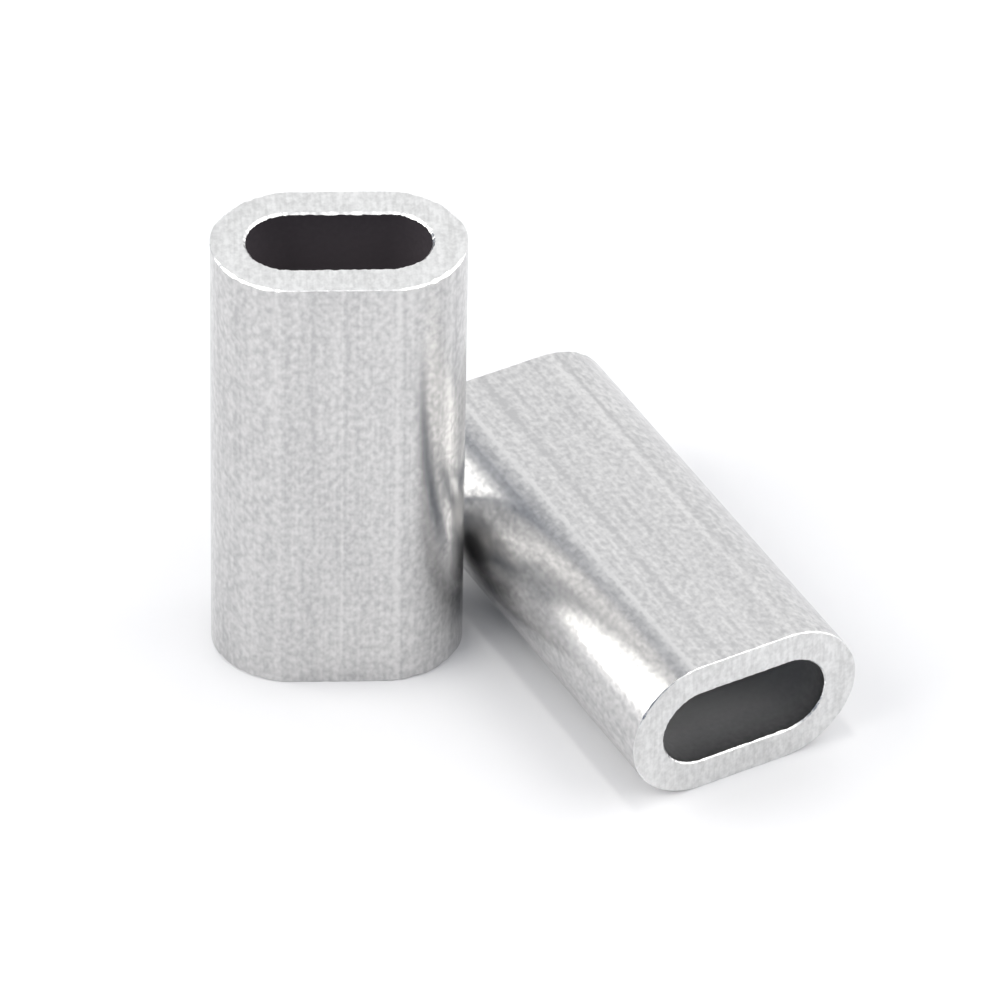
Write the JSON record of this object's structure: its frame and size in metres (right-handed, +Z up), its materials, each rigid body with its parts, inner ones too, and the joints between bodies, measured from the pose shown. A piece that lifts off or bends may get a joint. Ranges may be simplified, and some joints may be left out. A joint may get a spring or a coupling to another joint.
{
  "type": "oval wire rope ferrule",
  "caption": "Loose oval aluminium swage ferrules that close the eye of a wire rope sling, set out upright on a sawn end and lying on a flat side.",
  "frame": {"origin": "on the surface that both ferrules rest on, under the middle of the pair's box", "axes": "+Z up, along the standing ferrule; +X along the pair from the standing ferrule to the lying one, square to the standing ferrule's half-round sides; +Y from front to back, square to the standing ferrule's flat sides"},
  "size_m": [0.0458, 0.0402, 0.036],
  "materials": {
    "aluminium": "bare extruded mill finish with a faint lengthwise die grain, ends sawn and left with a light burr"
  },
  "bodies": {
    "lying_ferrule": {"lying_ferrule": "aluminium"},
    "standing_ferrule": {"standing_ferrule": "aluminium"}
  },
  "joints": [
    {"name": "standing_ferrule_lift", "type": "slide", "parent": "lying_ferrule", "child": "standing_ferrule", "axis": [0, 0, 1], "range_m": [0, 0.045]}
  ]
}
